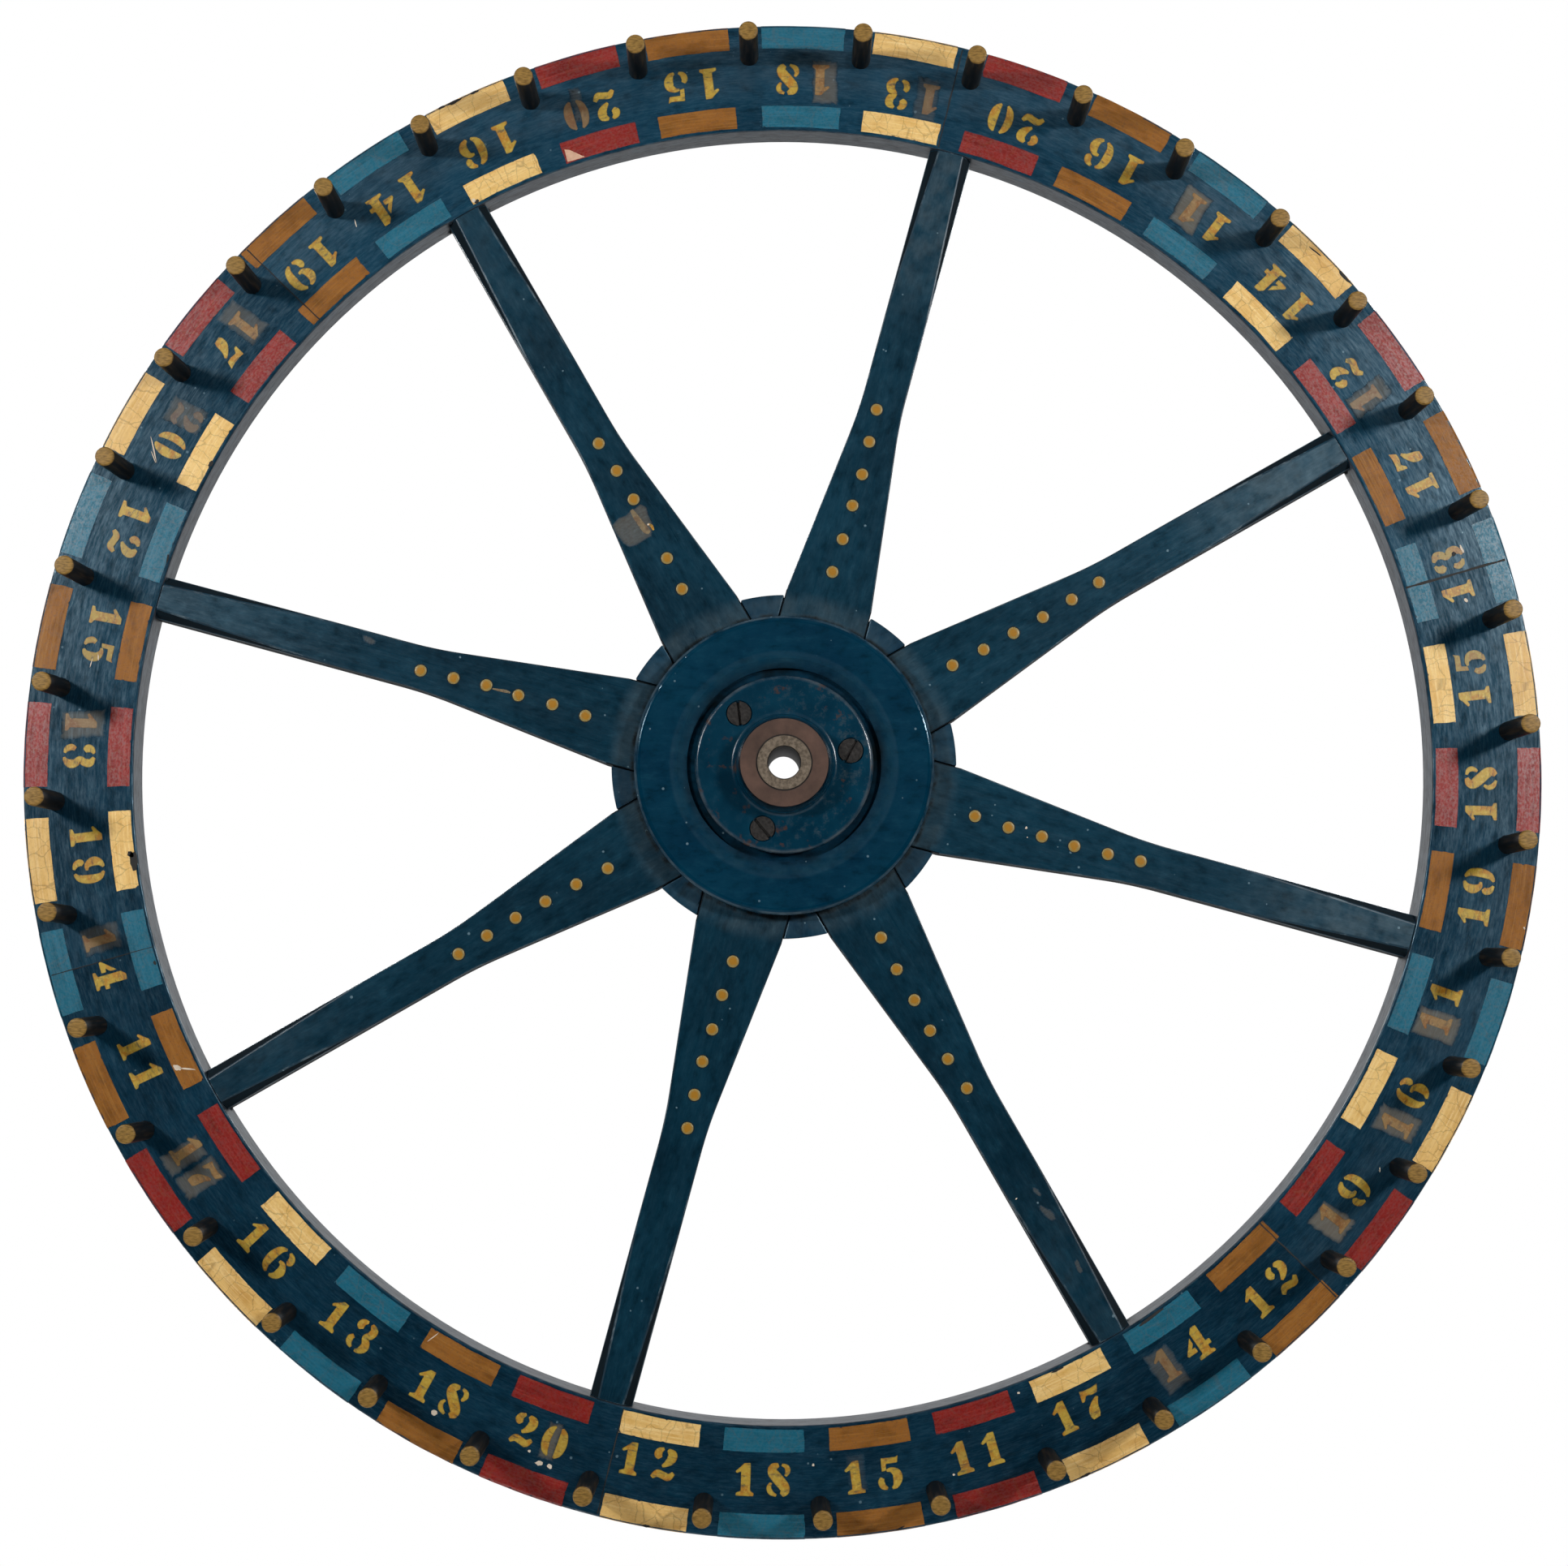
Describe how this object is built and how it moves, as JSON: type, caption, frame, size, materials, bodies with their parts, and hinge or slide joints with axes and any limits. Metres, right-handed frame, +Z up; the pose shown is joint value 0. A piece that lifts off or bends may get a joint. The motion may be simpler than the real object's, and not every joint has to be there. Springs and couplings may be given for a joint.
{
  "type": "carnival game wheel",
  "caption": "Spoked wooden carnival game wheel with a pegged, painted rim, flared spokes and bossed iron hub flanges, spinning freely on a steel axle sleeve.",
  "frame": {"origin": "centre of the axle bore, in the joint plane between the two layers of the rim", "axes": "+Z up, +Y along the axle from the painted face to the back, +X to the right seen from the painted face"},
  "size_m": [0.762, 0.078, 0.762],
  "materials": {
    "painted_wood": "old dark blue oil paint on wood, worn at the edges",
    "peg_wood": "dark stained dowel with a gold painted tip",
    "painted_iron": "dark blue paint on cast iron, rusty bare end face",
    "sleeve_steel": "dull worn steel",
    "screw_steel": "browned steel"
  },
  "bodies": {
    "axle": {"axle_sleeve": "sleeve_steel"},
    "wheel": {"front_flange": "painted_iron", "rear_flange": "painted_iron", "front_flange_screws": "screw_steel", "rear_flange_screws": "screw_steel", "hub_screws": "screw_steel", "spoke_end_screws": "screw_steel", "felloe_screws": "screw_steel", "front_cover_disc": "painted_wood", "rear_cover_disc": "painted_wood", "hub_block_1": "painted_wood", "hub_block_2": "painted_wood", "hub_block_3": "painted_wood", "hub_block_4": "painted_wood", "hub_block_5": "painted_wood", "hub_block_6": "painted_wood", "hub_block_7": "painted_wood", "hub_block_8": "painted_wood", "spoke_1": "painted_wood", "spoke_2": "painted_wood", "spoke_3": "painted_wood", "spoke_4": "painted_wood", "spoke_5": "painted_wood", "spoke_6": "painted_wood", "spoke_7": "painted_wood", "spoke_8": "painted_wood", "front_felloe_1": "painted_wood", "front_felloe_2": "painted_wood", "front_felloe_3": "painted_wood", "front_felloe_4": "painted_wood", "front_felloe_5": "painted_wood", "front_felloe_6": "painted_wood", "rear_felloe_1": "painted_wood", "rear_felloe_2": "painted_wood", "rear_felloe_3": "painted_wood", "rear_felloe_4": "painted_wood", "rear_felloe_5": "painted_wood", "rear_felloe_6": "painted_wood", "rear_felloe_7": "painted_wood", "rear_felloe_8": "painted_wood", "pegs_1": "peg_wood", "pegs_2": "peg_wood", "pegs_3": "peg_wood", "pegs_4": "peg_wood", "pegs_5": "peg_wood", "pegs_6": "peg_wood", "pegs_7": "peg_wood", "pegs_8": "peg_wood"}
  },
  "joints": [
    {"name": "wheel_spin", "type": "hinge", "parent": "axle", "child": "wheel", "pos_m": [0, 0, 0], "axis": [0, 1, 0], "continuous": true}
  ]
}
